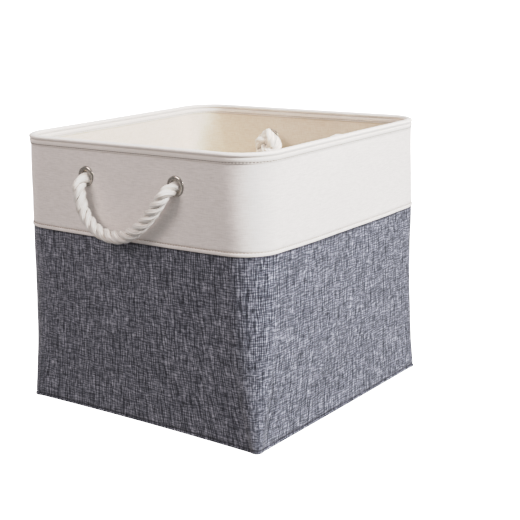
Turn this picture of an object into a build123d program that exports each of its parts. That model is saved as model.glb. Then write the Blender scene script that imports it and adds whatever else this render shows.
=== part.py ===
from build123d import *
import math
import os

os.makedirs("parts", exist_ok=True)

# A square fabric storage bin: soft cloth walls over foam panels, a canvas band on its upper third, a wire
# rim, and a rope handle on the front (-Y) and back (+Y) walls. Millimetres, +Z up, the origin on the
# floor under the middle of the bin.

# Outside form. A width is taken across the corners' flats, and a bow is how far the middle of a side
# stands out past them.
bin_height = 312.0
seam_height = 208.0
hem_height = 11.0
base_width = 330.0
seam_width = 333.5
rim_width = 339.0
base_corner = 8.0
seam_corner = 35.0
rim_corner = 40.0
base_bow = -3.0
seam_bow = 5.0
rim_bow = -1.5
seam_gap = 0.3  # between the grey wall's top edge and the band's lower edge

# Wall layers, from the outside in
cloth = 1.2
foam = 3.0
lining = 1.0
panel_corner_gap = 38.0  # each foam panel stops this far short of the bin's corners

# Bottom
board = 2.5
board_edge_clearance = 1.5

# Rim
binding = 1.2
wire_radius = 2.0
wire_clearance = 0.3
wire_butt_gap = 0.6
sleeve_length = 24.0
sleeve_wall = 0.45

# Rope handles
rope_radius = 7.0
neck_clearance = 0.3  # the rope is squeezed a little where it passes the eyelet
elbow_reach = 13.0  # from the wall's face out to the line that the loop swings about
elbow_clearance = 0.3
pull_travel = 6.0  # how far the rope draws out before its knots meet the washers
knot_width = 38.0
knot_tall = 34.0
knot_deep = 28.0
knot_round = 12.0
knot_shift = 12.0  # the knots lie towards the middle of their handle
knot_drop = 4.0

# Eyelets, two in the front wall and two in the back wall, with the rope filling their bores
eyelet_height = 272.7
eyelet_spacing = 126.0
front_handle_x = 4.0
back_handle_x = 12.0
barrel_wall = 0.6
barrel_clearance = 0.1
flange_reach = 3.8  # past the barrel
flange_rise = 2.0
seat_sink = 0.4  # how deep the crimped metal presses into the cloth
washer_reach = 3.4
washer_thickness = 0.8
curl_reach = 1.6
curl_rise = 1.0

# The loop's route between its two elbows, as (along the wall, out from the elbow line, up from the
# eyelets), from the middle of the handle. It hangs lower on one side, as a stiff rope does once handled.
loop_route = [
    (-64.2, 0.3, -22.5),
    (-56.3, 0.9, -42.0),
    (-38.5, 1.6, -55.5),
    (-13.0, 2.2, -59.5),
    (12.5, 1.9, -52.5),
    (35.0, 1.2, -36.8),
    (51.5, 0.5, -19.5),
]

# Worked out from the sizes above
wall = cloth + foam + lining
hem_bottom = bin_height - hem_height
fold_radius = wall / 2 + binding
fold_centre = bin_height - fold_radius
stack_top = fold_centre - wire_radius - sleeve_wall - wire_clearance
panel_end = seam_width / 2 - panel_corner_gap
lining_floor = cloth + board
bore_radius = rope_radius
neck_radius = bore_radius - neck_clearance
barrel_radius = bore_radius + barrel_wall
hole_radius = barrel_radius + barrel_clearance
flange_radius = barrel_radius + flange_reach
washer_radius = barrel_radius + washer_reach
curl_radius = barrel_radius + curl_reach
lower_sizes = [(0.0, base_width, base_corner, base_bow), (seam_height, seam_width, seam_corner, seam_bow)]
upper_sizes = [(seam_height, seam_width, seam_corner, seam_bow), (hem_bottom, rim_width, rim_corner, rim_bow)]


def outline(height, width, corner, bow, inset):
    """The bin's outline at one height, drawn in by inset: four bowed sides and four round corners."""
    half = width / 2
    bulge = math.copysign(1, bow)
    side_radius = (half**2 + bow**2) / (2 * abs(bow))
    side_centre = bulge * side_radius - half - bow
    between = side_radius - bulge * corner
    corner_centre = (bulge * math.sqrt(2 * between**2 - side_centre**2) - side_centre) / 2
    share = (side_radius - bulge * inset) / between
    touch = Vector(corner_centre * share, side_centre - (corner_centre + side_centre) * share)
    tip = corner_centre + (corner - inset) * math.sqrt(0.5)
    with BuildSketch(Plane.XY.offset(height)) as shape:
        with BuildLine():
            for turn in range(4):
                side = [(-touch.X, touch.Y), (0, inset - half - bow), (touch.X, touch.Y)]
                round_corner = [(touch.X, touch.Y), (tip, -tip), (-touch.Y, -touch.X)]
                for arc in (side, round_corner):
                    ThreePointArc(*[Vector(*point).rotate(Axis.Z, 90 * turn) for point in arc])
        make_face()
    return shape.sketch


def lower_form(inset):
    """The inside of the lower wall's outline, from the floor to the seam."""
    with BuildPart() as form:
        loft(sections=[outline(*level, inset) for level in lower_sizes], ruled=True)
    return form.part


def upper_form(inset, top):
    """The inside of the band's outline, from the seam to the hem and straight on up to top."""
    hem_outline = outline(hem_bottom, rim_width, rim_corner, rim_bow, inset)
    with BuildPart() as form:
        loft(sections=[outline(*upper_sizes[0], inset), hem_outline], ruled=True)
        extrude(hem_outline, amount=top - hem_bottom)
    return form.part


def lower_layer(outside, inside):
    """One layer of the lower wall, between two depths from its outer face."""
    with BuildPart() as layer:
        add(lower_form(outside))
        add(lower_form(inside), mode=Mode.SUBTRACT)
    return layer.part


def upper_layer(outside, inside):
    """One layer of the band, between two depths, with its lower edge just above the seam."""
    with BuildPart() as layer:
        add(upper_form(outside, stack_top))
        add(upper_form(inside, stack_top), mode=Mode.SUBTRACT)
        split(bisect_by=Plane.XY.offset(seam_height + seam_gap), keep=Keep.TOP)
    return layer.part


def slab(form, low, high):
    """The part of a form between two heights."""
    with BuildPart() as cut:
        add(form)
        split(bisect_by=Plane.XY.offset(low), keep=Keep.TOP)
        split(bisect_by=Plane.XY.offset(high), keep=Keep.BOTTOM)
    return cut.part


def finish(piece, name):
    piece.part.label = name
    export_step(piece.part, f"parts/{name}.step")


def wall_face(x, height):
    """How far the band's outer face stands from the bin's middle plane."""
    share = (height - seam_height) / (hem_bottom - seam_height)
    half = (seam_width + share * (rim_width - seam_width)) / 2
    bow = seam_bow + share * (rim_bow - seam_bow)
    return half + bow * (1 - (x / half) ** 2)


face = wall_face(eyelet_spacing / 2, eyelet_height)
seat = face - seat_sink
inner_seat = face - wall + seat_sink
grip = seat - inner_seat
elbow = face + elbow_reach

# Each handle: its name, the side of the bin that it is on, and where its middle is
handles = [("front", -1, front_handle_x), ("back", 1, back_handle_x)]
ends = [("left", -1), ("right", 1)]


def eyelet_x(middle, end):
    return middle + end * eyelet_spacing / 2


def cross_plane(side, x):
    """A plane through an eyelet's axis, with its own y pointing out of the wall from the flange's seat."""
    return Plane(origin=(x, side * seat, eyelet_height), x_dir=(1, 0, 0), z_dir=(0, 0, side))


def axis_out(side, x):
    return Axis((x, side * seat, eyelet_height), (0, side, 0))


def bore_holes(radius):
    """Round holes for the four eyelets, through both walls."""
    for _, side, middle in handles:
        for _, end in ends:
            mouth = Plane(origin=(eyelet_x(middle, end), 0, eyelet_height), z_dir=(0, side, 0))
            with BuildSketch(mouth) as hole:
                Circle(radius)
            extrude(hole.sketch, amount=rim_width, mode=Mode.SUBTRACT)


def seats(radius, start, amount):
    """Flat round seats for the four flanges or washers."""
    for _, side, middle in handles:
        for _, end in ends:
            origin = (eyelet_x(middle, end), side * start, eyelet_height)
            with BuildSketch(Plane(origin=origin, z_dir=(0, side, 0))) as disc:
                Circle(radius)
            extrude(disc.sketch, amount=amount, mode=Mode.SUBTRACT)


# Lower wall: grey cloth, a foam panel in each side, and the lining
with BuildPart() as outer_wall:
    add(lower_layer(0, cloth))
finish(outer_wall, "outer_wall")

with BuildPart() as lining_wall:
    add(slab(lower_layer(wall - lining, wall), cloth, seam_height))
finish(lining_wall, "lining_wall")

lower_foam = slab(lower_layer(cloth, cloth + foam), cloth, seam_height)
upper_foam = upper_layer(cloth, cloth + foam)
sides = [("front", (0, -1)), ("right", (1, 0)), ("back", (0, 1)), ("left", (-1, 0))]
for side_name, (across, along) in sides:
    reach = rim_width / 2
    panel_size = (
        2 * panel_end if across == 0 else rim_width,
        2 * panel_end if along == 0 else rim_width,
        bin_height,
    )
    with BuildPart() as wall_panel:
        add(lower_foam)
        with Locations((across * reach, along * reach, bin_height / 2)):
            Box(*panel_size, mode=Mode.INTERSECT)
    finish(wall_panel, f"{side_name}_wall_panel")
    with BuildPart() as band_panel:
        add(upper_foam)
        with Locations((across * reach, along * reach, bin_height / 2)):
            Box(*panel_size, mode=Mode.INTERSECT)
        if across == 0:
            bore_holes(hole_radius)
    finish(band_panel, f"{side_name}_band_panel")

# Bottom: grey cloth, a stiff board, and the lining over it
with BuildPart() as outer_bottom:
    add(slab(lower_form(cloth), 0, cloth))
finish(outer_bottom, "outer_bottom")

with BuildPart() as base_board:
    add(slab(lower_form(wall + board_edge_clearance), cloth, lining_floor))
finish(base_board, "base_board")

with BuildPart() as lining_bottom:
    add(slab(lower_form(wall), lining_floor, lining_floor + lining))
finish(lining_bottom, "lining_bottom")

# Band: off-white canvas outside and inside, pierced for the eyelets and seated flat under their metal
with BuildPart() as upper_band:
    add(upper_layer(0, cloth))
    bore_holes(hole_radius)
    seats(flange_radius, seat, rim_width)
finish(upper_band, "upper_band")

with BuildPart() as band_facing:
    add(upper_layer(wall - lining, wall))
    bore_holes(hole_radius)
    seats(washer_radius, 0, inner_seat)
finish(band_facing, "band_facing")

# Rim: a cloth binding folded over the top edge, with a spring wire in its fold
rim_path = outline(fold_centre, rim_width, rim_corner, rim_bow, wall / 2).wire()
rim_start = (0, -(rim_width / 2 + rim_bow - wall / 2), fold_centre)
rim_section = Plane(origin=rim_start, x_dir=(0, 1, 0), z_dir=(1, 0, 0))


def hem_ring(outside, inside):
    """A straight leg of the binding, from the hem's edge up to the fold."""
    with BuildSketch(Plane.XY.offset(hem_bottom)) as ring:
        add(outline(hem_bottom, rim_width, rim_corner, rim_bow, outside))
        add(outline(hem_bottom, rim_width, rim_corner, rim_bow, inside), mode=Mode.SUBTRACT)
    return ring.sketch


with BuildPart() as rim_binding:
    extrude(hem_ring(-binding, 0), amount=fold_centre - hem_bottom)
    extrude(hem_ring(wall, wall + binding), amount=fold_centre - hem_bottom)
    with BuildSketch(rim_section) as fold:
        Circle(fold_radius)
        Circle(wall / 2, mode=Mode.SUBTRACT)
        with Locations((0, -fold_radius)):
            Rectangle(2 * fold_radius, 2 * fold_radius, mode=Mode.SUBTRACT)
    sweep(sections=fold.sketch, path=rim_path)
finish(rim_binding, "rim_binding")

butt_joint = (0, rim_width / 2, fold_centre)
with BuildPart() as rim_wire:
    with BuildSketch(rim_section) as round_wire:
        Circle(wire_radius)
    sweep(sections=round_wire.sketch, path=rim_path)
    with Locations(butt_joint):
        Box(wire_butt_gap, rim_width / 4, 4 * wire_radius, mode=Mode.SUBTRACT)
finish(rim_wire, "rim_wire")

with BuildPart() as wire_sleeve:
    with BuildSketch(rim_section) as round_sleeve:
        Circle(wire_radius + sleeve_wall)
        Circle(wire_radius, mode=Mode.SUBTRACT)
    sweep(sections=round_sleeve.sketch, path=rim_path)
    with Locations(butt_joint):
        Box(sleeve_length, rim_width / 4, 4 * (wire_radius + sleeve_wall), mode=Mode.INTERSECT)
finish(wire_sleeve, "wire_sleeve")

# Handles: two eyelets with washers inside, a rope neck and a knot at each, and the loop between them
for handle_name, side, middle in handles:
    for end_name, end in ends:
        where = f"{handle_name}_{end_name}"
        x = eyelet_x(middle, end)
        plane = cross_plane(side, x)
        outward = axis_out(side, x)
        back_of_washer = -grip - washer_thickness

        with BuildPart() as eyelet:
            with BuildSketch(plane):
                with BuildLine():
                    inner_edge = back_of_washer - 0.8 * curl_rise
                    bore = Line((bore_radius, inner_edge), (bore_radius, 0.4 * flange_rise))
                    crown_top = ((bore_radius + flange_radius) / 2, flange_rise)
                    crown = ThreePointArc(bore @ 1, crown_top, (flange_radius, 0))
                    barrel = Polyline(crown @ 1, (barrel_radius, 0), (barrel_radius, back_of_washer))
                    lip = Line(barrel @ 1, (curl_radius, back_of_washer))
                    curl_top = ((bore_radius + curl_radius) / 2, back_of_washer - curl_rise)
                    ThreePointArc(lip @ 1, curl_top, bore @ 0)
                make_face()
            revolve(axis=outward)
        finish(eyelet, f"{where}_eyelet")

        with BuildPart() as washer:
            with BuildSketch(plane):
                with BuildLine():
                    Polyline(
                        (hole_radius, -grip),
                        (washer_radius, -grip),
                        (washer_radius, -grip - washer_thickness / 2),
                        (washer_radius - washer_thickness / 2, back_of_washer),
                        (hole_radius, back_of_washer),
                        close=True,
                    )
                make_face()
            revolve(axis=outward)
        finish(washer, f"{where}_washer")

        knot_near = -back_of_washer + curl_rise + pull_travel + elbow_clearance
        knot_y = side * (seat - knot_near - knot_deep / 2)
        knot_at = (x - end * knot_shift, knot_y, eyelet_height - knot_drop)
        with BuildPart() as knot:
            with Locations(knot_at):
                Box(knot_width, knot_deep, knot_tall)
            fillet(knot.edges(), knot_round)
        finish(knot, f"{where}_knot")

        with BuildPart() as neck:
            neck_length = elbow - seat + knot_near + knot_deep / 2
            start = (x, side * (elbow - neck_length), eyelet_height)
            with BuildSketch(Plane(origin=start, z_dir=(0, side, 0))):
                Circle(neck_radius)
            extrude(amount=neck_length)
            with Locations((x, side * elbow, eyelet_height)):
                Sphere(neck_radius)
            add(knot.part, mode=Mode.SUBTRACT)
        finish(neck, f"{where}_neck")

    # The loop starts and ends just clear of the round elbows that it swings on. The same rope on the other
    # wall is turned half round.
    half_turned = [middle - side * end * eyelet_spacing / 2 for _, end in ends]
    first, last = [Vector(x, side * elbow, eyelet_height) for x in half_turned]
    route = [
        Vector(middle - side * along, side * (elbow + out), eyelet_height + up)
        for along, out, up in loop_route
    ]
    start_gap = (route[0] - first).normalized() * (neck_radius + elbow_clearance)
    end_gap = (route[-1] - last).normalized() * (neck_radius + elbow_clearance)
    route = [first + start_gap, *route, last + end_gap]
    radii = []
    for before, point, after in zip(route, route[1:], route[2:]):
        turn = (point - before).get_angle(after - point)
        shorter = min((point - before).length, (after - point).length)
        radii.append(0.45 * shorter / math.tan(math.radians(turn / 2)))
    with BuildPart() as loop:
        with BuildLine() as loop_line:
            FilletPolyline(*route, radius=radii)
        with BuildSketch(Plane(origin=loop_line.line @ 0, z_dir=loop_line.line % 0)):
            Circle(rope_radius)
        sweep()
    tube_length = loop_line.wire().length
    section_volume = math.pi * rope_radius**2 * tube_length
    print(handle_name, "loop radii", [round(r, 1) for r in radii], "length", round(tube_length, 1))
    print("  volume over section times length", round(loop.part.volume / section_volume, 4))
    finish(loop, f"{handle_name}_rope_loop")
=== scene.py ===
import math

import bpy
import numpy as np
from mathutils import Matrix, Vector, noise


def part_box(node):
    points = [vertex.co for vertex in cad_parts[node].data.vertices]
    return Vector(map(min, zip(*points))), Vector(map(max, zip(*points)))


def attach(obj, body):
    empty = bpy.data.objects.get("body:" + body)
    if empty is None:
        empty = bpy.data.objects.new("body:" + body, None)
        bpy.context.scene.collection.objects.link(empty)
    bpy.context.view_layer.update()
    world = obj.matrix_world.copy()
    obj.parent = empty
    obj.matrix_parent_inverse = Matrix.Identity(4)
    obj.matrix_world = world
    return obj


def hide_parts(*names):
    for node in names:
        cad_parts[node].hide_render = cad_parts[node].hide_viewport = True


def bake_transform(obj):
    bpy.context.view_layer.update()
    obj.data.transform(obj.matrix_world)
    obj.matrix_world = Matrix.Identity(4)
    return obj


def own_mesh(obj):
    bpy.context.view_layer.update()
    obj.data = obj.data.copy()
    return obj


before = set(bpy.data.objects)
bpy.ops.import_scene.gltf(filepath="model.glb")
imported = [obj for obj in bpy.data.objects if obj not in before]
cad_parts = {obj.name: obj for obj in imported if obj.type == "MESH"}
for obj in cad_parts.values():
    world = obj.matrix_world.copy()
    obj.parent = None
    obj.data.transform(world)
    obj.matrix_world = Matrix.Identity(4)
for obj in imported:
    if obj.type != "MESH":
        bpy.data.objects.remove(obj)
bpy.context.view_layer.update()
mm = 0.001


def boxOf(node):
    low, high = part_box(node)
    return Vector(low), Vector(high)


# camera: where the bin is seen from, as turns about it, and the lens on a 36 mm sensor
cameraSpot = dict(azimuth=36.51, elevation=14.065, roll=-1.368, aim=(0.0311, 0.0211, 0.1499), distance=1.3716,
                  lens=79.74, sensor=36)


def makeCamera(spot):
    turn, rise, roll = (math.radians(spot[key]) for key in ("azimuth", "elevation", "roll"))
    back = Vector((math.sin(turn) * math.cos(rise), -math.cos(turn) * math.cos(rise), math.sin(rise)))
    right = Vector((math.cos(turn), math.sin(turn), 0))
    up = back.cross(right)
    tiltedRight = right * math.cos(roll) + up * math.sin(roll)
    tiltedUp = up * math.cos(roll) - right * math.sin(roll)
    data = bpy.data.cameras.new("camera")
    data.lens = spot["lens"]
    data.sensor_width = spot["sensor"]
    data.clip_end = 200
    camera = bpy.data.objects.new("camera", data)
    bpy.context.scene.collection.objects.link(camera)
    turned = Matrix((tiltedRight, tiltedUp, back)).transposed().to_4x4()
    camera.matrix_world = Matrix.Translation(Vector(spot["aim"]) + back * spot["distance"]) @ turned
    bpy.context.scene.camera = camera


makeCamera(cameraSpot)


# small helpers for meshes, nodes and colours

def clamped(value):
    return min(1.0, max(0.0, value))


def linearColour(hexText):
    parts = [int(hexText[i:i + 2], 16) / 255 for i in (1, 3, 5)]
    return tuple(p / 12.92 if p <= 0.04045 else ((p + 0.055) / 1.055) ** 2.4 for p in parts) + (1,)


def connect(tree, node, links):
    # a socket or a node (its first output) is linked, and anything else is the input's fixed value
    for key, value in links.items():
        if isinstance(value, bpy.types.Node):
            value = value.outputs[0]
        if isinstance(value, bpy.types.NodeSocket):
            tree.links.new(value, node.inputs[key])
        else:
            node.inputs[key].default_value = value


def addNode(tree, kind, settings=None, links=None):
    node = tree.nodes.new(kind)
    for key, value in (settings or {}).items():
        setattr(node, key, value)
    connect(tree, node, links or {})
    return node


def setStops(ramp, stops):
    elements = ramp.color_ramp.elements
    while len(elements) < len(stops):
        elements.new(0.5)
    for element, (place, colour) in zip(elements, stops):
        element.position = place
        element.color = linearColour(colour)


times = dict(operation="MULTIPLY")
timesPlus = dict(operation="MULTIPLY_ADD")  # input 0 times input 1, plus input 2


def newMaterial(name):
    material = bpy.data.materials.new(name)
    material.use_nodes = True
    tree = material.node_tree
    return material, tree, tree.nodes["Principled BSDF"]


def clothCoordinates(tree):
    uv = addNode(tree, "ShaderNodeUVMap", dict(uv_map="cloth"))
    split = addNode(tree, "ShaderNodeSeparateXYZ", links={0: uv.outputs[0]})
    return split.outputs[0], split.outputs[1]


def streaks(tree, across, along, width, length, detail=2.0, lift=0.0):
    # noise drawn out along the thread: width and length are a slub's, in metres
    place = addNode(tree, "ShaderNodeCombineXYZ", links={0: across, 1: along})
    scaled = addNode(tree, "ShaderNodeMapping", links={
        "Vector": place, "Scale": (1 / width, 1 / length, 1), "Location": (0, 0, lift)})
    return addNode(tree, "ShaderNodeTexNoise", links={
        "Vector": scaled, "Scale": 1.0, "Detail": detail, "Roughness": 0.55})


def threadWave(tree, coordinate, pitch):
    turns = addNode(tree, "ShaderNodeMath", times, {0: coordinate, 1: 2 * math.pi / pitch})
    return addNode(tree, "ShaderNodeMath", dict(operation="SINE"), {0: turns})


def weaveHeight(tree, across, along, acrossPitch, alongPitch):
    # plain weave: over-under threads as the product of two waves
    one = threadWave(tree, across, acrossPitch)
    other = threadWave(tree, along, alongPitch)
    return addNode(tree, "ShaderNodeMath", times, {0: one, 1: other})


# materials

def creaseShaded(tree, colour, shadow):
    # painted shade: the colour is darkened where the piece's crease attribute says that a fold or a seam
    # lies, standing in for the shade there
    creaseShade = addNode(tree, "ShaderNodeAttribute", dict(attribute_name="creaseShade")).outputs["Fac"]
    mixed = addNode(tree, "ShaderNodeMix", dict(data_type="RGBA", blend_type="MULTIPLY"),
                    {0: creaseShade, 6: colour, 7: linearColour(shadow)})
    return mixed.outputs[2]


def threadShade(tree, across, along, pitch, length, lift):
    # each thread has its own shade, which drifts along it: the thread's number, times a step that isn't
    # whole, is its place in the noise
    counted = addNode(tree, "ShaderNodeMath", dict(operation="DIVIDE"), {0: across, 1: pitch})
    number = addNode(tree, "ShaderNodeMath", dict(operation="FLOOR"), {0: counted})
    apart = addNode(tree, "ShaderNodeMath", times, {0: number, 1: slubLook["numberStep"]})
    drift = addNode(tree, "ShaderNodeMath", dict(operation="DIVIDE"), {0: along, 1: length})
    place = addNode(tree, "ShaderNodeCombineXYZ", links={0: apart, 1: drift, 2: lift})
    field = addNode(tree, "ShaderNodeTexNoise", links={"Vector": place, "Scale": 1.0, "Detail": 0.0})
    # half as much contrast again, about the noise's middle value
    return addNode(tree, "ShaderNodeMath", timesPlus, {0: field, 1: 1.5, 2: -0.25})


# real slub cloth has 1 to 1.5 threads a millimetre and a light or dark slub every 1.5 mm or so; the threads
# are drawn a little coarser, and the slubs' lines 2.5 to 2.9 mm apart, so that they show
slubLook = dict(
    warpPitch=1.25 * mm, weftPitch=1.35 * mm, warpLength=7 * mm, weftLength=4 * mm, numberStep=7.31,
    warpSpacing=2.5 * mm, weftSpacing=2.9 * mm, warpShare=0.21, weftShare=0.13,
    wander=8 * mm, wanderWidth=4.5 * mm, warpWanderLength=38 * mm, weftWanderLength=20 * mm,
    warpOnTop=0.56, overUnder=0.4, base=0.19, contrast=0.62, crown=0.3, bump=0.5 * mm,
    # fold: the grey of the painted shade in the cloth's folds and seams
    stops=[(0.12, "#2a2d36"), (0.42, "#525560"), (0.6, "#747784"), (0.9, "#bbbdca")], fold="#8d8d94")


def slubLines(tree, across, along, spacing, length, lift):
    # lines of slubs side by side, each wandering along its length
    field = streaks(tree, across, along, slubLook["wanderWidth"], length, 1.0, lift=lift)
    place = addNode(tree, "ShaderNodeMath", timesPlus, {0: field, 1: slubLook["wander"], 2: across})
    return threadWave(tree, place, spacing)


def slubLinen():
    # woven polyester made to look like slub linen: matt, with uneven light and dark threads both ways, which
    # run longest upright
    look = slubLook
    material, tree, shader = newMaterial("slubLinen")
    across, along = clothCoordinates(tree)
    warp = threadShade(tree, across, along, look["warpPitch"], look["warpLength"], 0.0)
    weft = threadShade(tree, along, across, look["weftPitch"], look["weftLength"], 7.3)
    weave = weaveHeight(tree, across, along, 2 * look["warpPitch"], 2 * look["weftPitch"])
    upper = addNode(tree, "ShaderNodeMath", timesPlus, {0: weave, 1: look["overUnder"], 2: look["warpOnTop"]})
    woven = addNode(tree, "ShaderNodeMix", dict(data_type="FLOAT"), {0: upper, 2: weft, 3: warp})
    calm = addNode(tree, "ShaderNodeMath", timesPlus, {0: woven, 1: look["contrast"], 2: look["base"]})
    warpLines = slubLines(tree, across, along, look["warpSpacing"], look["warpWanderLength"], 3.1)
    weftLines = slubLines(tree, along, across, look["weftSpacing"], look["weftWanderLength"], 8.3)
    upright = addNode(tree, "ShaderNodeMath", timesPlus, {0: warpLines, 1: look["warpShare"], 2: calm})
    shade = addNode(tree, "ShaderNodeMath", timesPlus, {0: weftLines, 1: look["weftShare"], 2: upright})
    ramp = addNode(tree, "ShaderNodeValToRGB", links={"Fac": shade})
    setStops(ramp, look["stops"])
    crowns = addNode(tree, "ShaderNodeMath", dict(operation="ABSOLUTE"), {0: weave})
    height = addNode(tree, "ShaderNodeMath", timesPlus, {0: crowns, 1: look["crown"], 2: shade})
    bump = addNode(tree, "ShaderNodeBump", links={
        "Height": height, "Distance": look["bump"], "Strength": 0.8})
    # painted shade in the folds and seams, in the fold grey
    connect(tree, shader, {
        "Base Color": creaseShaded(tree, ramp.outputs["Color"], look["fold"]), "Normal": bump, "Roughness": 0.8,
        "Specular IOR Level": 0.3, "Sheen Weight": 0.5, "Sheen Roughness": 0.35})
    return material


def wovenCotton(name, light, dark, pitch, bumpDepth, ribs):
    # plain-woven cotton: fine even threads, slightly stronger sideways ribs, matt with a faint nap
    material, tree, shader = newMaterial(name)
    across, along = clothCoordinates(tree)
    warp = streaks(tree, across, along, 0.9 * mm, 7 * mm, 3.0)
    weft = streaks(tree, along, across, 0.9 * mm, 9 * mm, 3.0, lift=5.7)
    upright = addNode(tree, "ShaderNodeMath", times, {0: warp, 1: 1 - ribs})
    both = addNode(tree, "ShaderNodeMath", timesPlus, {0: weft, 1: ribs, 2: upright})
    weave = weaveHeight(tree, across, along, pitch, pitch)
    shade = addNode(tree, "ShaderNodeMath", timesPlus, {0: weave, 1: 0.06, 2: both})
    ramp = addNode(tree, "ShaderNodeValToRGB", links={"Fac": shade})
    setStops(ramp, [(0.3, dark), (0.62, light)])
    height = addNode(tree, "ShaderNodeMath", timesPlus, {0: weave, 1: 0.25, 2: both})
    bump = addNode(tree, "ShaderNodeBump", links={"Height": height, "Distance": bumpDepth, "Strength": 0.7})
    # painted shade in the folds and seams, in a pale brown-grey
    connect(tree, shader, {
        "Base Color": creaseShaded(tree, ramp.outputs["Color"], "#cfc8c2"), "Normal": bump, "Roughness": 0.9,
        "Specular IOR Level": 0.2, "Sheen Weight": 0.15, "Sheen Roughness": 0.6})
    return material


def twistedCotton():
    # soft-laid cotton rope: ivory with a nap, fine yarns along each strand, and brown-grey painted shade in
    # the slits between strands
    material, tree, shader = newMaterial("twistedCotton")
    across, along = clothCoordinates(tree)
    slant = addNode(tree, "ShaderNodeMath", timesPlus, {0: along, 1: 0.3, 2: across})
    yarns = streaks(tree, slant, along, 1.1 * mm, 12 * mm, 3.0)
    patches = streaks(tree, across, along, 9 * mm, 6 * mm, 1.0, lift=2.4)
    reach = addNode(tree, "ShaderNodeAttribute", dict(attribute_name="reach")).outputs["Fac"]
    # the slits' depth for the painted shade, 0.08 more or less from patch to patch
    uneven = addNode(tree, "ShaderNodeMath", timesPlus, {0: patches, 1: 0.16, 2: -0.08})
    depth = addNode(tree, "ShaderNodeMath", dict(operation="ADD"), {0: reach, 1: uneven})
    body = addNode(tree, "ShaderNodeValToRGB", links={"Fac": yarns})
    setStops(body, [(0.34, "#e8dfd5"), (0.47, "#fdf9f4"), (0.6, "#fffefc")])
    # painted shade: brown-grey where the strands' surface lies deep, in the slits between them
    groove = addNode(tree, "ShaderNodeValToRGB", links={"Fac": depth})
    setStops(groove, [(0.625, "#4e4238"), (0.665, "#b8aca0"), (0.71, "#ffffff")])
    mix = addNode(tree, "ShaderNodeMix", dict(data_type="RGBA", blend_type="MULTIPLY"),
                  {0: 1.0, 6: body, 7: groove})
    bump = addNode(tree, "ShaderNodeBump", links={"Height": yarns, "Distance": 1.2 * mm, "Strength": 1.0})
    connect(tree, shader, {
        "Base Color": mix.outputs[2], "Normal": bump, "Roughness": 0.9, "Specular IOR Level": 0.2,
        "Sheen Weight": 0.7, "Sheen Roughness": 0.5})
    return material


def nickelPlate():
    # nickel-plated stamped steel: polished, slightly warm, with faint handling marks
    material, tree, shader = newMaterial("nickelPlate")
    place = addNode(tree, "ShaderNodeTexCoord").outputs["Object"]
    marks = addNode(tree, "ShaderNodeTexNoise", links={"Vector": place, "Scale": 900.0, "Detail": 3.0})
    ramp = addNode(tree, "ShaderNodeValToRGB", links={"Fac": marks})
    setStops(ramp, [(0.3, "#b3ada7"), (0.7, "#cbc6c0")])
    rough = addNode(tree, "ShaderNodeMapRange", links={0: marks, 3: 0.14, 4: 0.3})
    connect(tree, shader, {"Base Color": ramp, "Roughness": rough, "Metallic": 1.0})
    return material


def speckled(name, low, high, size, roughness, metallic=0.0):
    # foam, greyboard and drawn wire: an even matt or brushed surface with fine specks
    material, tree, shader = newMaterial(name)
    place = addNode(tree, "ShaderNodeTexCoord").outputs["Object"]
    specks = addNode(tree, "ShaderNodeTexNoise", links={"Vector": place, "Scale": 1 / size, "Detail": 4.0})
    ramp = addNode(tree, "ShaderNodeValToRGB", links={"Fac": specks})
    setStops(ramp, [(0.35, low), (0.65, high)])
    bump = addNode(tree, "ShaderNodeBump", links={"Height": specks, "Distance": 0.1 * mm})
    connect(tree, shader, {"Base Color": ramp, "Normal": bump, "Roughness": roughness, "Metallic": metallic})
    return material


def sewingThread(name, colour):
    # polyester sewing thread: smooth, a little glossier than the cloth
    material, tree, shader = newMaterial(name)
    place = addNode(tree, "ShaderNodeTexCoord").outputs["Object"]
    twist = addNode(tree, "ShaderNodeTexNoise", links={"Vector": place, "Scale": 1500.0})
    bump = addNode(tree, "ShaderNodeBump", links={"Height": twist, "Distance": 0.1 * mm})
    connect(tree, shader, {"Base Color": linearColour(colour), "Normal": bump, "Roughness": 0.6})
    return material


greyCloth = slubLinen()
canvas = wovenCotton("offWhiteCanvas", "#f3efed", "#dfdad7", 1.2 * mm, 0.2 * mm, 0.65)
hemCanvas = wovenCotton("hemCanvas", "#f3f0ed", "#eae5e1", 1.2 * mm, 0.16 * mm, 0.5)
liningCloth = wovenCotton("liningCotton", "#ede4d8", "#decfbc", 1.2 * mm, 0.14 * mm, 0.5)
ropeCotton = twistedCotton()
nickel = nickelPlate()
foamSheet = speckled("foamSheet", "#e4e4e2", "#f2f2f0", 1.2 * mm, 0.8)
greyBoard = speckled("greyBoard", "#7d766c", "#a39c90", 1.5 * mm, 0.9)
springSteel = speckled("springSteel", "#7b7c7f", "#a0a1a5", 0.4 * mm, 0.35, 1.0)
hemThread = sewingThread("hemThread", "#6b605a")
edgeThread = sewingThread("edgeThread", "#bdb3aa")
print("materials made")


# the bin's form: its outline at each level, how far a wall bows and a corner stands out there, and the
# thickness of the walls' layers

seamHeight = boxOf("outer_wall")[1].z
hemBottom = boxOf("rim_binding")[0].z
rimTop = boxOf("rim_binding")[1].z
form = dict(
    levels=[0.0, 20 * mm, 60 * mm, 120 * mm, seamHeight, hemBottom, rimTop],
    widths=[size * mm for size in (330, 330.3, 331.2, 332.5, 334.3, 339, 339)],
    corners=[size * mm for size in (9, 14.5, 25, 35, 41, 42, 42)],
    bows=[size * mm for size in (-3, -2, 0.5, 2.5, 5, -1.5, -1.5)],
    lean=[size * mm for size in (-3.7, -3.6, -3.2, -2, -1, 0, 0)], leanTowards=(0.8, 0.6),
    rightBulge=[size * mm for size in (3.6, 1.8, 0.4, 0, 0, 0, 0)],
    ears=[size * mm for size in (2.8, 3.4, 2.8, 1.9, 0.9, 0, 0)],
    blend=28 * mm, cloth=1.2 * mm, foam=3 * mm, lining=1 * mm, sideColumns=56, cornerColumns=18)
wallDepth = form["cloth"] + form["foam"] + form["lining"]


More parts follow.
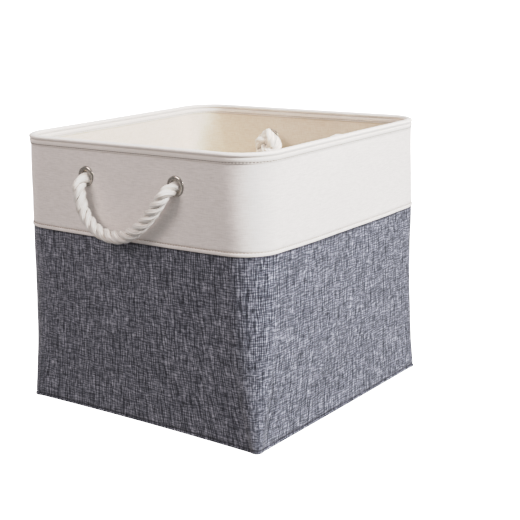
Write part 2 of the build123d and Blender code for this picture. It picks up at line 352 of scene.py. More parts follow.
def ring(height, inset):
    # points and outward normals of the outline at a height, drawn in by inset; the bin leans and bulges a
    # little
    window = max(0.0, min(form["blend"], height, (seamHeight - height) / 2))
    near = height + window * np.linspace(-1, 1, 9)
    width, corner, bow, lean, rightBulge, ears = (
        float(np.mean(np.interp(near, form["levels"], form[key])))
        for key in ("widths", "corners", "bows", "lean", "rightBulge", "ears"))
    bow = bow if abs(bow) > 1e-5 else 1e-5
    corner = max(corner, inset + 0.5 * mm)
    half = width / 2
    bulge = math.copysign(1, bow)
    sideRadius = (half ** 2 + bow ** 2) / (2 * abs(bow))
    sideCentre = bulge * sideRadius - half - bow
    between = sideRadius - bulge * corner
    cornerCentre = (bulge * math.sqrt(2 * between ** 2 - sideCentre ** 2) - sideCentre) / 2
    touchOut = cornerCentre * sideRadius / between
    points, normals = [], []
    swing = math.asin(touchOut / sideRadius)
    startTurn = -math.pi / 2 + bulge * swing
    for quarter in range(4):
        turn = quarter * math.pi / 2
        spin = np.array([[math.cos(turn), -math.sin(turn)], [math.sin(turn), math.cos(turn)]])
        across = np.linspace(-swing, swing, form["sideColumns"], endpoint=False)
        outward = np.stack([bulge * np.sin(across), -np.cos(across)], 1)
        arm = sideRadius - bulge * inset
        side = np.stack([arm * np.sin(across), sideCentre - bulge * arm * np.cos(across)], 1)
        sweepTurns = np.linspace(startTurn, -bulge * swing, form["cornerColumns"], endpoint=False)
        arc = np.stack([np.cos(sweepTurns), np.sin(sweepTurns)], 1)
        bend = np.array([cornerCentre, -cornerCentre]) + arc * (corner - inset)
        points.append(np.concatenate([side, bend]) @ spin.T)
        normals.append(np.concatenate([outward, arc]) @ spin.T)
    points, normals = np.concatenate(points), np.concatenate(normals)
    bulged = (rightBulge * np.clip(normals[:, 0], 0, 1) ** 2
              * np.cos(np.clip(points[:, 1] / half, -1, 1) * math.pi / 2))
    pulled = ears * np.clip(abs(normals[:, 0] * normals[:, 1]) * 2, 0, 1)
    moved = points + normals * (bulged + pulled)[:, None] + np.array(form["leanTowards"]) * lean
    return moved, normals


middlePoints, _ = ring(seamHeight, 0)
steps = np.linalg.norm(np.roll(middlePoints, -1, axis=0) - middlePoints, axis=1)
perimeter = float(steps.sum())
columnPlace = np.concatenate([[0], np.cumsum(steps)[:-1]])

# handles: which wall, where its middle is, and the bodies that its rope rides on
eyeletLow, eyeletHigh = boxOf("front_left_eyelet")
eyeletHeight = (eyeletLow.z + eyeletHigh.z) / 2
handles = []
for wallName, side in (("front", -1), ("back", 1)):
    leftBox, rightBox = boxOf(wallName + "_left_eyelet"), boxOf(wallName + "_right_eyelet")
    lefts, rights = (leftBox[0].x + leftBox[1].x) / 2, (rightBox[0].x + rightBox[1].x) / 2
    handles.append(dict(wall=wallName, side=side, middle=(lefts + rights) / 2, left=lefts, right=rights))

softness = dict(wave=85 * mm, waveLift=1.3 * mm, small=28 * mm, smallLift=0.35 * mm, seed=4.2,
                floorFade=30 * mm, hemFade=20 * mm, quietFrom=12 * mm, quietOver=25 * mm, quietShare=0.15,
                dimple=0.5 * mm, dimpleReach=13 * mm, dimpleFrom=10 * mm, dimpleTo=60 * mm)


def softLift(x, y, z):
    # how far the cloth stands off the plain form: slow waves and small unevenness, quiet near the metal
    wave = noise.noise(Vector((x, y, z)) / softness["wave"] + Vector((softness["seed"], 0, 0)))
    small = noise.noise(Vector((x, y, z)) / softness["small"] + Vector((0, softness["seed"], 0)))
    lift = wave * softness["waveLift"] + small * softness["smallLift"]
    low = clamped(z / softness["floorFade"])
    top = clamped((rimTop - z) / softness["hemFade"])
    quiet = 1.0
    for handle in handles:
        for eyeletX in (handle["left"], handle["right"]):
            if y * handle["side"] > 0:
                away = math.hypot(x - eyeletX, z - eyeletHeight)
                near = clamped((away - softness["quietFrom"]) / softness["quietOver"])
                quiet = min(quiet, near * near * (3 - 2 * near))
                if softness["dimpleFrom"] < away < softness["dimpleTo"]:
                    fading = math.exp(-(away - softness["dimpleFrom"]) / softness["dimpleReach"])
                    lift -= softness["dimple"] * fading * near
    return lift * low * top * (softness["quietShare"] + (1 - softness["quietShare"]) * quiet)


def linkObject(name, mesh, material, smooth=True):
    piece = bpy.data.objects.new(name, mesh)
    bpy.context.scene.collection.objects.link(piece)
    mesh.materials.append(material)
    mesh.polygons.foreach_set("use_smooth", [smooth] * len(mesh.polygons))
    return piece


def gridMesh(name, rows, wrapRows, wrapColumns, rowPlaces, columnPlaces, columnSpan, rowSpan=0.0):
    # rows: an array of rows x columns x 3; the places give the cloth's own coordinates, in metres
    rows = np.asarray(rows)
    rowCount, columnCount = rows.shape[:2]
    faces, uvs = [], []
    for r in range(rowCount if wrapRows else rowCount - 1):
        nextRow = (r + 1) % rowCount
        low, high = rowPlaces[r], rowPlaces[nextRow] + (rowSpan if nextRow == 0 else 0)
        for c in range(columnCount if wrapColumns else columnCount - 1):
            nextColumn = (c + 1) % columnCount
            left = columnPlaces[c]
            right = columnPlaces[nextColumn] + (columnSpan if nextColumn == 0 else 0)
            faces.append((r * columnCount + c, r * columnCount + nextColumn,
                          nextRow * columnCount + nextColumn, nextRow * columnCount + c))
            uvs += [(left, low), (right, low), (right, high), (left, high)]
    mesh = bpy.data.meshes.new(name)
    mesh.from_pydata(rows.reshape(-1, 3).tolist(), [], faces)
    layer = mesh.uv_layers.new(name="cloth")
    layer.data.foreach_set("uv", np.array(uvs, float).ravel())
    return mesh


slackLook = dict(across=46 * mm, upright=150 * mm, most=4.6 * mm, hem=11 * mm, fade=28 * mm, floor=5 * mm,
                 floorFade=30 * mm, eyelet=14 * mm, eyeletFade=30 * mm)


def slackFold(x, y, z, reach):
    # the lining's loose folds, which stand inwards, away from the metal and the sewn edges
    place = Vector(((x - y) / slackLook["across"], (x + y) / slackLook["across"],
                    z / slackLook["upright"] + 0.4 * x))
    fold = max(0.0, noise.noise(place * 0.9) + 0.05) * slackLook["most"] * reach
    edge = clamped((rimTop - slackLook["hem"] - z) / slackLook["fade"])
    edge *= clamped((z - slackLook["floor"]) / slackLook["floorFade"])
    for handle in handles:
        for eyeletX in (handle["left"], handle["right"]):
            if y * handle["side"] > 0:
                away = math.hypot(x - eyeletX, z - eyeletHeight)
                edge *= clamped((away - slackLook["eyelet"]) / slackLook["eyeletFade"])
    return fold * edge


squeezeLook = dict(depth=0.85 * mm, near=12.5 * mm, far=22 * mm)


def squeeze(x, y, z):
    # how far the eyelets press the layers inside the wall outwards
    most = 0.0
    for handle in handles:
        for eyeletX in (handle["left"], handle["right"]):
            if y * handle["side"] > 0:
                away = (math.hypot(x - eyeletX, z - eyeletHeight) - squeezeLook["near"]) / (
                    squeezeLook["far"] - squeezeLook["near"])
                share = 1 - clamped(away)
                most = max(most, share * share * (3 - 2 * share))
    return most * squeezeLook["depth"]


def clothRing(name, profile, material, slack=0.0, squeezed=False):
    # a closed band of cloth round the bin; profile lists (height, inset, share of the soft lift, painted
    # crease shade)
    rows, places, creaseShades = [], [0.0], []
    for height, inset, soft, *creaseShade in profile:
        points, normals = ring(height, inset)
        lift = np.array([softLift(x, y, height) for x, y in points]) * soft
        if slack:
            lift -= np.array([slackFold(x, y, height, slack) for x, y in points])
        if squeezed:
            lift += np.array([squeeze(x, y, height) for x, y in points])
        outline = points + normals * lift[:, None]
        rows.append(np.column_stack([outline, np.full(len(outline), height)]))
        creaseShades.append(np.full(len(outline), creaseShade[0] if creaseShade else 0.0))
    for before, after in zip(profile, profile[1:]):
        places.append(places[-1] + math.hypot(after[0] - before[0], after[1] - before[1]))
    span = places[-1] + math.hypot(profile[0][0] - profile[-1][0], profile[0][1] - profile[-1][1])
    mesh = gridMesh(name, rows, True, True, places, columnPlace, perimeter, span)
    # the painted crease shade for each point, by which the cloth materials darken their colour
    mesh.attributes.new("creaseShade", "FLOAT", "POINT").data.foreach_set("value", np.concatenate(creaseShades))
    return linkObject(name, mesh, material)


def heights(low, high, step):
    return np.linspace(low, high, max(2, round(abs(high - low) / step) + 1))


def wallProfile(low, high, outside, inside, step, soft=1.0):
    outer = [(z, outside, soft) for z in heights(low, high, step)]
    return outer + [(z, inside, soft) for z in heights(high, low, step)]


def clothPlate(name, low, high, inset, material, cutAt):
    # a flat layer of the bottom, cut to the bin's outline at a height
    points, _ = ring(cutAt, inset)
    shares = [1.0, 0.985, 0.95, 0.88, 0.76, 0.6, 0.42, 0.24, 0.1]
    rows = [np.column_stack([points * share, np.full(len(points), high)]) for share in reversed(shares)]
    rows += [np.column_stack([points * share, np.full(len(points), low)]) for share in shares]
    rows = np.array(rows)
    mesh = bpy.data.meshes.new(name)
    count = len(points)
    faces = []
    for r in range(len(rows) - 1):
        for c in range(count):
            d = (c + 1) % count
            faces.append((r * count + d, r * count + c, (r + 1) * count + c, (r + 1) * count + d))
    faces.append(tuple(range(count)))
    faces.append(tuple(reversed(range((len(rows) - 1) * count, len(rows) * count))))
    mesh.from_pydata(rows.reshape(-1, 3).tolist(), [], faces)
    layer = mesh.uv_layers.new(name="cloth")
    flat = np.array([mesh.vertices[loop.vertex_index].co.xy for loop in mesh.loops])
    layer.data.foreach_set("uv", flat.ravel())
    return linkObject(name, mesh, material)


# lower wall: grey cloth over foam, with its lining; all of it folds flat as the rim comes down

wallLook = dict(turnUnder=1.6 * mm, ridge=0.7 * mm, groove=0.5 * mm, step=4 * mm)


def foldsFlat(piece, *nodes):
    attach(piece, "base")
    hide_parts(*nodes)
    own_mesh(piece)


def makeLowerWall():
    cloth = form["cloth"]
    # the fourth values paint shade along the turned-under foot and in the seam line above it
    edge = [(0.0, cloth * 0.98, 0), (0.0, wallLook["turnUnder"] * 0.5, 0, 0.6), (0.5 * mm, -0.2 * mm, 0, 0.3),
            (1.5 * mm, -wallLook["ridge"], 0), (2.6 * mm, -wallLook["ridge"] * 0.8, 0),
            (3.5 * mm, wallLook["groove"], 0.1, 1.0), (4.3 * mm, wallLook["groove"], 0.2, 0.9),
            (5.4 * mm, 0.1 * mm, 0.3, 0.1), (6.5 * mm, 0.0, 0.4)]
    outer = [(z, 0.0, 1.0) for z in heights(10 * mm, seamHeight - 5 * mm, wallLook["step"])]
    # painted shade on the grey cloth just under the band's edge
    under = [(seamHeight - 3 * mm, 0.0, 1.0, 0.15), (seamHeight - 1.4 * mm, 0.0, 1.0, 0.8),
             (seamHeight, 0.0, 1.0, 1.0)]
    inner = [(z, cloth, 1.0) for z in heights(seamHeight, 10 * mm, wallLook["step"])] + [(4 * mm, cloth, 0.2)]
    wall = clothRing("outerWall", edge + outer + under + inner, greyCloth)
    foldsFlat(wall, "outer_wall")


def makeLiningWall():
    # the lining hangs a little looser than the cloth outside
    low, high = boxOf("lining_wall")[0].z, boxOf("lining_wall")[1].z
    profile = wallProfile(low, high, wallDepth - form["lining"], wallDepth, 5 * mm)
    wall = clothRing("liningWall", profile, liningCloth, slack=1.0)
    foldsFlat(wall, "lining_wall")


def foamPanel(name, sideIndex, low, high):
    # one slab of foam, cut from the same outline as the cloth over it
    depths = (form["cloth"] + 0.05 * mm, form["cloth"] + form["foam"] - 0.05 * mm)
    columns = slice(sideIndex * (form["sideColumns"] + form["cornerColumns"]) + 2,
                    sideIndex * (form["sideColumns"] + form["cornerColumns"]) + form["sideColumns"] - 1)
    zs = heights(low, high, 8 * mm)
    profile = [(z, depths[0]) for z in zs] + [(z, depths[1]) for z in reversed(zs)]
    rows = []
    for z, inset in profile:
        points, normals = ring(z, inset)
        points, normals = points[columns], normals[columns]
        lift = np.array([softLift(x, y, z) for x, y in points])
        if inset == depths[1]:
            lift += np.array([squeeze(x, y, z) for x, y in points])
        rows.append(np.column_stack([points + normals * lift[:, None], np.full(len(points), z)]))
    rows = np.array(rows)
    count = rows.shape[1]
    mesh = gridMesh(name, rows, True, False, [0.0] * len(rows), columnPlace[columns], 0)
    capped = bpy.data.meshes.new(name)
    faces = [tuple(p.vertices) for p in mesh.polygons]
    faces.append(tuple(r * count for r in range(len(rows))))
    faces.append(tuple(r * count + count - 1 for r in reversed(range(len(rows)))))
    capped.from_pydata([v.co[:] for v in mesh.vertices], [], faces)
    bpy.data.meshes.remove(mesh)
    return linkObject(name, capped, foamSheet, smooth=False)


makeLowerWall()
makeLiningWall()
for index, wallName in enumerate(("front", "right", "back", "left")):
    low, high = boxOf(wallName + "_wall_panel")
    panel = foamPanel(wallName + "WallPanel", index, low.z, high.z)
    foldsFlat(panel, wallName + "_wall_panel")
print("lower wall done")

# bottom: grey cloth, board and lining
# the inner layers have rounder corners, so that the folded wall still covers them
innerCut = 24 * mm
for name, node, inset, material, cutAt in (
        ("outerBottom", "outer_bottom", form["cloth"], greyCloth, 0.0),
        ("baseBoard", "base_board", wallDepth + 1.5 * mm, greyBoard, innerCut),
        ("liningBottom", "lining_bottom", wallDepth, liningCloth, innerCut)):
    low, high = boxOf(node)
    plate = clothPlate(name, low.z, high.z, inset, material, cutAt)
    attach(plate, "base")
    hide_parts(node)
print("bottom done")


# band: canvas outside with a folded lower edge, facing inside, foam between

bandLook = dict(edgeLift=1.0 * mm, edgeTall=3.0 * mm, edgeGroove=0.45 * mm, step=3.5 * mm)

# the tool that cuts the eyelets' holes: wall is how far out its middle is, sharp the angle of a hard edge
holeLook = dict(radius=7.7 * mm, depth=60 * mm, wall=168 * mm, sides=40, sharp=45)


def pierce(piece):
    # round holes for the eyelets, cut through both walls
    for handle in handles:
        for eyeletX in (handle["left"], handle["right"]):
            middle = (eyeletX, handle["side"] * holeLook["wall"], eyeletHeight)
            bpy.ops.mesh.primitive_cylinder_add(vertices=holeLook["sides"], radius=holeLook["radius"],
                                                depth=holeLook["depth"], location=middle,
                                                rotation=(math.pi / 2, 0, 0))
            cutter = bpy.context.active_object
            cut = piece.modifiers.new("pierce", "BOOLEAN")
            cut.operation = "DIFFERENCE"
            cut.object = cutter
            bpy.context.view_layer.update()
            mesh = bpy.data.meshes.new_from_object(piece.evaluated_get(bpy.context.evaluated_depsgraph_get()))
            piece.modifiers.remove(cut)
            mesh.set_sharp_from_angle(angle=math.radians(holeLook["sharp"]))
            piece.data = mesh
            bpy.data.objects.remove(cutter)


def makeBand():
    cloth = form["cloth"]
    low, high = boxOf("upper_band")[0].z, boxOf("upper_band")[1].z
    lift, tall, groove = bandLook["edgeLift"], bandLook["edgeTall"], bandLook["edgeGroove"]
    # the fourth values paint shade along the band's folded lower edge and the crease above it
    edge = [(low + 0.3 * mm, cloth * 0.6, 1), (low - 0.4 * mm, 0.1 * mm, 1, 0.5),
            (low - 0.5 * mm, -lift * 0.7, 1), (low + 0.3 * mm, -lift, 1), (low + tall * 0.5, -lift, 1),
            (low + tall * 0.85, -lift * 0.8, 1),
            (low + tall + 0.2 * mm, groove, 1, 0.5), (low + tall + 0.9 * mm, groove * 0.7, 1, 0.4),
            (low + tall + 1.8 * mm, -0.15 * mm, 1)]
    outer = [(z, 0.0, 1.0) for z in heights(low + 7 * mm, rimTop - 14 * mm, bandLook["step"])]
    # painted shade on the band just under the binding
    outer += [(rimTop - 12.4 * mm, 0.0, 1.0), (rimTop - 11.3 * mm, 0.0, 1.0, 0.4), (high, 0.0, 1.0, 0.5)]
    inner = [(z, cloth, 1.0) for z in heights(high, low + 3 * mm, bandLook["step"])]
    band = clothRing("upperBand", edge + outer + inner, canvas)
    pierce(band)
    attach(band, "rim")
    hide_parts("upper_band")


def makeFacing():
    low, high = boxOf("band_facing")[0].z, boxOf("band_facing")[1].z
    thin = [(z, wallDepth - form["lining"], 1.0) for z in heights(low, high, 4 * mm)]
    # painted shade on the facing just under the binding's inner edge
    shown = [(high, wallDepth, 1.0, 0.6), (rimTop - 11.4 * mm, wallDepth, 1.0, 0.5),
             (rimTop - 12.6 * mm, wallDepth, 1.0)]
    shown += [(z, wallDepth, 1.0) for z in heights(rimTop - 14 * mm, low, 4 * mm)]
    facing = clothRing("bandFacing", thin + shown, liningCloth, slack=1.0, squeezed=True)
    pierce(facing)
    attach(facing, "rim")
    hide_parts("band_facing")


makeBand()
makeFacing()
for index, wallName in enumerate(("front", "right", "back", "left")):
    low, high = boxOf(wallName + "_band_panel")
    panel = foamPanel(wallName + "BandPanel", index, low.z, high.z)
    if wallName in ("front", "back"):
        pierce(panel)
    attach(panel, "rim")
    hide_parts(wallName + "_band_panel")
print("band done")

# rim: the binding folded over the wire, tucked in under it on both sides

# outside lists (mm down, mm out, and where given painted shade in the binding's creases and at its stitch
# line)
rimLook = dict(
    outside=[(10.9, 0.0), (11.0, 0.2, 0.5), (10.8, 0.45), (10.3, 0.5, 0.1), (9.7, 0.3, 0.6), (9.0, 0.55, 0.2),
             (8.2, 0.85), (6.4, 0.95), (5.4, 0.75, 0.1), (4.7, 0.4, 0.6), (4.2, 0.45, 0.5), (3.6, 0.95, 0.1),
             (2.7, 1.3), (1.7, 1.1), (0.9, 0.3), (0.3, -0.9)],
    hollow=[(7.0, 0.0), (5.0, -0.1), (3.8, -0.25), (2.14, -0.94), (1.45, -2.6)])


def makeBinding():
    # millimetres down from the rim's top and out from the wall's face; the inside mirrors the outside
    def place(down, out, creaseShade, mirrored):
        return rimTop - down * mm, wallDepth + out * mm if mirrored else -out * mm, 1, creaseShade

    outside = [place(down, out, sum(creaseShade), False) for down, out, *creaseShade in rimLook["outside"]]
    inside = [place(down, out, sum(creaseShade), True) for down, out, *creaseShade in reversed(rimLook["outside"])]
    hollowIn = [place(down, out, 0, True) for down, out in rimLook["hollow"][:-1]]
    hollowOut = [place(down, out, 0, False) for down, out in reversed(rimLook["hollow"])]
    profile = outside + [(rimTop, wallDepth / 2, 1)] + inside + hollowIn + hollowOut
    binding = clothRing("rimBinding", profile, hemCanvas)
    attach(binding, "rim")
    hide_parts("rim_binding")


makeBinding()
for node in ("rim_wire", "wire_sleeve"):
    bpy.data.objects[node].material_slots[0].material = springSteel
print("rim done")


# eyelets and washers, spun from their profiles

eyeletLook = dict(bore=7.0 * mm, barrel=7.6 * mm, flange=11.4 * mm, rise=2.0 * mm, grip=4.4 * mm,
                  washer=11 * mm, washerThick=0.8 * mm, curl=9.2 * mm, turns=72)


def spun(name, profile, x, side, seatY, material, turns):
    # a closed profile of (radius, out from the seat) turned about the eyelet's axis
    rows = []
    for radius, out in profile:
        angles = np.linspace(0, 2 * math.pi, turns, endpoint=False)
        rows.append(np.column_stack([x + radius * np.cos(angles) * side, np.full(turns, side * (seatY + out)),
                                     eyeletHeight + radius * np.sin(angles)]))
    places = np.linspace(0, 0.02, len(rows))
    mesh = gridMesh(name, rows, True, True, places, np.linspace(0, 0.05, turns), 0.001)
    return linkObject(name, mesh, material)


def roundOver(start, top, end, count):
    # an arch from start through top to end, as a smooth half wave
    shares = np.linspace(0, math.pi, count)
    return [(start[0] + (end[0] - start[0]) * (1 - math.cos(a)) / 2,
             (start[1] + (end[1] - start[1]) * (1 - math.cos(a)) / 2) * (1 - math.sin(a)) + top * math.sin(a))
            for a in shares]


def makeEyelets():
    look = eyeletLook
    for handle in handles:
        for end in ("left", "right"):
            node = f"{handle['wall']}_{end}_eyelet"
            low, high = boxOf(node)
            outerY = max(abs(low.y), abs(high.y))
            seatY = outerY - look["rise"]
            washerBack = -look["grip"] - look["washerThick"]
            crown = roundOver((look["bore"], 0.6 * look["rise"]), look["rise"], (look["flange"], 0.0), 13)
            curl = roundOver((look["curl"], washerBack), washerBack - 1.0 * mm,
                             (look["bore"], washerBack - 0.8 * mm), 9)
            profile = [(look["bore"], washerBack + 0.3 * mm), (look["bore"], -2 * mm)] + crown
            profile += [(look["barrel"], -0.1 * mm), (look["barrel"], washerBack)] + curl
            name = f"{handle['wall']}{end.capitalize()}Eyelet"
            eyelet = spun(name, profile, handle[end], handle["side"], seatY, nickel, look["turns"])
            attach(eyelet, "rim")
            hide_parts(node)
            rim = [(look["barrel"] + 0.1 * mm, -look["grip"] + 0.3 * mm),
                   (look["washer"], -look["grip"] + 0.2 * mm),
                   (look["washer"] + 0.2 * mm, -look["grip"] - 0.4 * mm),
                   (look["washer"] - 0.6 * mm, washerBack), (look["barrel"] + 0.1 * mm, washerBack)]
            name = f"{handle['wall']}{end.capitalize()}Washer"
            washer = spun(name, rim, handle[end], handle["side"], seatY, nickel, look["turns"])
            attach(washer, "rim")
            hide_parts(f"{handle['wall']}_{end}_washer")
            handle["seat"] = seatY


makeEyelets()
print("eyelets done")


# rope handles: three strands laid round the route's smooth line

rope = dict(radius=7.0 * mm, lay=34.5 * mm, strandOut=3.25 * mm, strandThick=3.9 * mm, strandWide=4.2 * mm,
            sides=30, yarns=7, yarnDepth=0.055, step=1.4 * mm, pinch=0.92, pinchLength=7 * mm)
elbowOut = 13.4 * mm  # from the eyelet's seat out to the line that the loop swings about
neckIn = 0.0399  # from that line in to the rope's ends at the knots

# along the wall, out from the elbow line and up from the eyelets, from the handle's middle
ropeRoute = [
    (-0.0630, -neckIn, 0.0004), (-0.0630, 0.0, 0.0),
    (-0.0622, 0.0003, -0.0225), (-0.0540, 0.0009, -0.0420), (-0.0362, 0.0016, -0.0560),
    (-0.0100, 0.0022, -0.0602),
    (0.0132, 0.0019, -0.0534), (0.0328, 0.0012, -0.0374), (0.0488, 0.0005, -0.0195),
    (0.0630, 0.0, 0.0), (0.0630, -neckIn, 0.0004),
]


def smoothLine(points):
    # the points that a NURBS line with these control points gives
    curve = bpy.data.curves.new("route", "CURVE")
    curve.dimensions = "3D"
    curve.resolution_u = 24
    spline = curve.splines.new("NURBS")
    spline.points.add(len(points) - 1)
    for place, point in zip(spline.points, points):
        place.co = (*point, 1)
    spline.order_u = 3
    spline.use_endpoint_u = True
    holder = bpy.data.objects.new("route", curve)
    bpy.context.scene.collection.objects.link(holder)
    bpy.context.view_layer.update()
    mesh = bpy.data.meshes.new_from_object(holder.evaluated_get(bpy.context.evaluated_depsgraph_get()))
    line = np.array([v.co for v in mesh.vertices])
    bpy.data.objects.remove(holder)
    bpy.data.curves.remove(curve)
    bpy.data.meshes.remove(mesh)
    return line


def evenly(line, step):
    lengths = np.concatenate([[0], np.cumsum(np.linalg.norm(np.diff(line, axis=0), axis=1))])
    count = max(3, round(lengths[-1] / step))
    wanted = np.linspace(0, lengths[-1], count)
    return np.column_stack([np.interp(wanted, lengths, line[:, axis]) for axis in range(3)]), wanted


def carriedFrames(line):
    # tangents and two cross directions carried along the line without twisting
    tangents = np.gradient(line, axis=0)
    tangents /= np.linalg.norm(tangents, axis=1)[:, None]
    first = np.cross(tangents[0], (0.3, 0.2, 0.9))
    first /= np.linalg.norm(first)
    ones = [first]
    for before, after in zip(tangents, tangents[1:]):
        one = ones[-1] - after * (ones[-1] @ after)
        ones.append(one / np.linalg.norm(one))
    ones = np.array(ones)
    return tangents, ones, np.cross(tangents, ones)


def strandMesh(name, line, look, sizeAt, startTurn=0.0):
    # three strands laid right-handed round a line, each with shallow lobes for its yarns; sizeAt scales them
    centre, lengths = evenly(line, look["step"])
    tangents, ones, others = carriedFrames(centre)
    vertices, faces, uvs, reach = [], [], [], []
    sides = look["sides"]
    angles = np.linspace(0, 2 * math.pi, sides, endpoint=False)
    for strand in range(3):
        start = len(vertices)
        for i in range(len(centre)):
            turn = startTurn + 2 * math.pi * (lengths[i] / look["lay"] + strand / 3)
            outward = ones[i] * math.cos(turn) + others[i] * math.sin(turn)
            sideways = np.cross(tangents[i], outward)
            uneven = 1 + 0.05 * noise.noise(Vector((lengths[i] * 70, strand * 5.1, startTurn)))
            for angle in angles:
                lobe = 1 + look["yarnDepth"] * math.cos(look["yarns"] * angle + lengths[i] * 400)
                thick, wide = look["strandThick"] * math.cos(angle), look["strandWide"] * math.sin(angle)
                offset = (outward * (look["strandOut"] + thick * lobe * uneven)
                          + sideways * wide * lobe * uneven)
                vertices.append(centre[i] + offset * sizeAt(lengths[i], lengths[-1]))
                # how far out from the line each point lies, as a share of the rope's radius; the rope's
                # material paints shade in the slits by it
                reach.append(float(np.linalg.norm(offset)) / look["radius"])
        for i in range(len(centre) - 1):
            for s in range(sides):
                t = (s + 1) % sides
                faces.append((start + i * sides + s, start + i * sides + t, start + (i + 1) * sides + t,
                              start + (i + 1) * sides + s))
                left = strand * 31 * mm + s * 25 * mm / sides
                right = left + 25 * mm / sides
                uvs += [(left, lengths[i]), (right, lengths[i]),
                        (right, lengths[i + 1]), (left, lengths[i + 1])]
        for cap, row in ((True, 0), (False, len(centre) - 1)):
            loop = [start + row * sides + s for s in range(sides)]
            faces.append(tuple(reversed(loop)) if cap else tuple(loop))
            uvs += [(0.0, lengths[row])] * sides
    mesh = bpy.data.meshes.new(name)
    mesh.from_pydata([tuple(v) for v in vertices], [], faces)
    mesh.uv_layers.new(name="cloth").data.foreach_set("uv", np.array(uvs, float).ravel())
    mesh.attributes.new("reach", "FLOAT", "POINT").data.foreach_set("value", reach)
    return mesh, centre, float(lengths[-1])


def pinchedAtEyelets(length, whole):
    # the rope is squeezed a little where it passes through the eyelets
    plate = neckIn - elbowOut
    near = min(abs(length - plate), abs(whole - length - plate)) / rope["pinchLength"]
    return 1 - (1 - rope["pinch"]) * math.exp(-near * near)


knotLook = dict(rope, hub=8.9 * mm, coil=4.9 * mm, aside=-2 * mm, start=20 * mm, gap=0.5, points=26,
                tail=16 * mm, lay=42 * mm, strandOut=2.75 * mm, strandThick=3.2 * mm, strandWide=3.9 * mm,
                step=1.2 * mm, radius=6.2 * mm)


def knotLine(handle, end):
    # an overhand knot: a rope that winds twice round the knot's hub and three times through it
    low, high = boxOf(f"{handle['wall']}_{end}_knot")
    side = handle["side"]
    away = -1 if end == "left" else 1
    hub = (low + high) / 2 - Vector((away * knotLook["aside"], 0, 0))
    points = [Vector((handle[end], side * (handle["seat"] - knotLook["start"]), eyeletHeight))]
    for i in range(knotLook["points"]):
        t = (2 * math.pi - knotLook["gap"]) * i / (knotLook["points"] - 1)
        reach = knotLook["hub"] + knotLook["coil"] * math.cos(math.pi / 2 + 3 * t)
        depth = knotLook["coil"] * math.sin(math.pi / 2 + 3 * t)
        angle = -math.pi / 2 - away * 2 * t
        points.append(hub + Vector((reach * math.cos(angle), side * depth, reach * math.sin(angle))))
    last = points[-1]
    points.append(Vector((hub.x + (last.x - hub.x) * 0.9, last.y - side * 4 * mm, last.z - 6 * mm)))
    points.append(Vector((hub.x + (last.x - hub.x) * 0.8, last.y - side * 5 * mm, last.z - knotLook["tail"])))
    return [tuple(p) for p in points]


def makeHandle(handle):
    wall, side, middle = handle["wall"], handle["side"], handle["middle"]
    elbowY = handle["seat"] + elbowOut
    points = [(middle - side * along, side * (elbowY + out), eyeletHeight + up)
              for along, out, up in ropeRoute]
    mesh, centre, length = strandMesh(wall + "Rope", smoothLine(points), rope, pinchedAtEyelets)
    piece = linkObject(wall + "Rope", mesh, ropeCotton)
    for end in ("left", "right"):
        name = f"{wall}{end.capitalize()}Knot"
        knotRoute = smoothLine(knotLine(handle, end))
        turned = 1.0 if end == "left" else 2.2
        knotMesh, _, _ = strandMesh(name, knotRoute, knotLook, lambda length, whole: 1.0, turned)
        knot = linkObject(name, knotMesh, ropeCotton)
        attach(knot, wall + "_rope_ends")
        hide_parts(f"{wall}_{end}_knot")
    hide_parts(wall + "_left_neck", wall + "_right_neck", wall + "_rope_loop")
    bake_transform(piece)
    print(wall, "rope", round(length, 4))


for handle in handles:
    makeHandle(handle)
print("ropes done")


# stitches, laid along the cloth by Geometry Nodes

stitchLook = dict(pitch=3.6 * mm, length=2.6 * mm, width=0.9 * mm)


def stitchTree():
    tree = bpy.data.node_groups.new("stitchRow", "GeometryNodeTree")
    tree.interface.new_socket("Geometry", in_out="INPUT", socket_type="NodeSocketGeometry")
    for name in ("Pitch", "Length", "Width"):
        tree.interface.new_socket(name, in_out="INPUT", socket_type="NodeSocketFloat")
    tree.interface.new_socket("Thread", in_out="INPUT", socket_type="NodeSocketMaterial")
    tree.interface.new_socket("Geometry", in_out="OUTPUT", socket_type="NodeSocketGeometry")
    given = addNode(tree, "NodeGroupInput").outputs
    line = addNode(tree, "GeometryNodeMeshToCurve", links={"Mesh": given["Geometry"]}).outputs[0]
    spaced = addNode(tree, "GeometryNodeResampleCurve", dict(mode="LENGTH"),
                     {"Curve": line, "Length": given["Pitch"]}).outputs[0]
    ball = addNode(tree, "GeometryNodeMeshUVSphere",
                   links={"Segments": 8, "Rings": 5, "Radius": 0.5}).outputs[0]
    size = addNode(tree, "ShaderNodeCombineXYZ",
                   links={0: given["Length"], 1: given["Width"], 2: given["Width"]})
    stitch = addNode(tree, "GeometryNodeTransform",
                     links={"Geometry": ball, "Scale": size.outputs[0]}).outputs[0]
    tangent = addNode(tree, "GeometryNodeInputTangent").outputs[0]
    turned = addNode(tree, "FunctionNodeAlignRotationToVector", dict(axis="X"),
                     {"Vector": tangent}).outputs[0]
    laid = addNode(tree, "GeometryNodeInstanceOnPoints",
                   links={"Points": spaced, "Instance": stitch, "Rotation": turned}).outputs[0]
    real = addNode(tree, "GeometryNodeRealizeInstances", links={"Geometry": laid}).outputs[0]
    done = addNode(tree, "GeometryNodeSetMaterial",
                   links={"Geometry": real, "Material": given["Thread"]}).outputs[0]
    addNode(tree, "NodeGroupOutput", links={"Geometry": done})
    return tree


stitchRow = stitchTree()


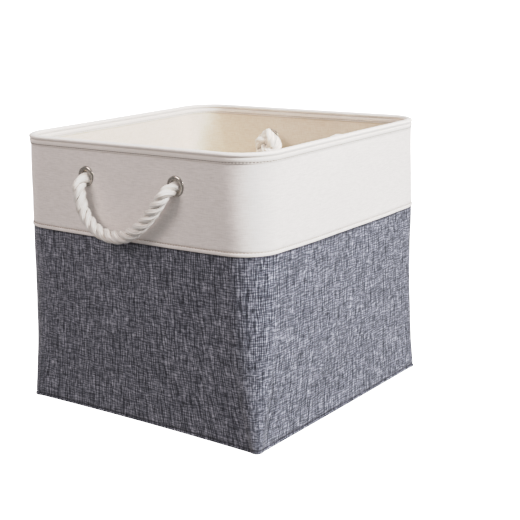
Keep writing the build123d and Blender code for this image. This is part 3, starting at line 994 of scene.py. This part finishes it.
def sewRow(name, height, inset, thread):
    # one row of stitches right round the bin, lying on the cloth at a height
    points, normals = ring(height, inset)
    lift = np.array([softLift(x, y, height) for x, y in points])
    outline = points + normals * lift[:, None]
    mesh = bpy.data.meshes.new(name)
    count = len(outline)
    mesh.from_pydata([(x, y, height) for x, y in outline], [(i, (i + 1) % count) for i in range(count)], [])
    row = bpy.data.objects.new(name, mesh)
    bpy.context.scene.collection.objects.link(row)
    sewn = row.modifiers.new("sewn", "NODES")
    sewn.node_group = stitchRow
    values = dict(Pitch=stitchLook["pitch"], Length=stitchLook["length"], Width=stitchLook["width"],
                  Thread=thread)
    for socket in stitchRow.interface.items_tree:
        if socket.in_out == "INPUT" and socket.name in values:
            sewn[socket.identifier] = values[socket.name]
    bpy.context.view_layer.update()
    plain = bpy.data.meshes.new_from_object(row.evaluated_get(bpy.context.evaluated_depsgraph_get()))
    row.modifiers.remove(sewn)
    row.data = plain
    plain.polygons.foreach_set("use_smooth", [True] * len(plain.polygons))
    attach(row, "rim")


hemSeam = rimTop - 9.6 * mm
proud = 0.35 * mm  # how far the hem's threads lie off the cloth's own line
sewRow("hemStitchesOutside", hemSeam, -proud, hemThread)
sewRow("hemStitchesInside", hemSeam, wallDepth + proud, edgeThread)
sewRow("bandEdgeStitches", boxOf("upper_band")[0].z + 3.4 * mm, -0.1 * mm, edgeThread)
print("stitches done")


# floor, light and view

studio = dict(
    floorSize=120.0, floorGlow=4.0, worldStrength=0.31, worldColour=(1.0, 0.945, 0.92),
    lights=[("keyLight", "AREA", (2.3, 0.2, 1.75), 132.0, dict(size=1.1, color=(1.0, 0.995, 0.985))),
            ("frontLight", "AREA", (-0.7, -1.9, 1.9), 25.0, dict(size=1.2, color=(1.0, 0.89, 0.86))),
            ("leftLight", "AREA", (-2.3, 0.1, 1.2), 9.0, dict(size=0.8)),
            ("insideLight", "SPOT", (0.0, 0.0, 2.3), 70.0, dict(spot_size=math.radians(9), spot_blend=0.4,
                                                              color=(1.0, 0.84, 0.66)))],
    toneCurve=[(0.0, 0.0), (0.09, 0.085), (0.27, 0.27), (0.45, 0.44), (0.8, 0.66), (1.3, 0.78), (1.9, 0.89),
               (2.5, 1.0)])


def makeStudio():
    material, tree, shader = newMaterial("paleFloor")
    connect(tree, shader, {
        "Base Color": linearColour("#f6f6f6"), "Roughness": 0.9, "Emission Color": (1, 1, 1, 1),
        "Emission Strength": studio["floorGlow"]})
    half = studio["floorSize"] / 2
    mesh = bpy.data.meshes.new("floor")
    mesh.from_pydata([(-half, -half, 0), (half, -half, 0), (half, half, 0), (-half, half, 0)],
                     [], [(0, 1, 2, 3)])
    floor = linkObject("floor", mesh, material)
    floor.location.z = -0.1 * mm
    floor.visible_diffuse = False  # a lit backdrop: it shows white, and doesn't light the bin from below
    floor.visible_glossy = False
    world = bpy.data.worlds.new("studio")
    world.use_nodes = True
    world.node_tree.nodes["Background"].inputs["Color"].default_value = (*studio["worldColour"], 1)
    world.node_tree.nodes["Background"].inputs["Strength"].default_value = studio["worldStrength"]
    bpy.context.scene.world = world
    for name, kind, place, power, settings in studio["lights"]:
        data = bpy.data.lights.new(name, kind)
        data.energy = power
        for key, value in settings.items():
            setattr(data, key, value)
        light = bpy.data.objects.new(name, data)
        light.location = place
        light.rotation_euler = (Vector((0, 0, 0.16)) - Vector(place)).to_track_quat("-Z", "Y").to_euler()
        bpy.context.scene.collection.objects.link(light)
    view = bpy.context.scene.view_settings
    view.view_transform = "Standard"
    view.use_curve_mapping = True  # a print's soft shoulder: whites are held back, darks are left alone
    mapping = view.curve_mapping
    mapping.use_clip = False
    curve = mapping.curves[3]
    curve.points[0].location = studio["toneCurve"][0]
    curve.points[1].location = studio["toneCurve"][-1]
    for place in studio["toneCurve"][1:-1]:
        curve.points.new(*place)
    mapping.update()


makeStudio()
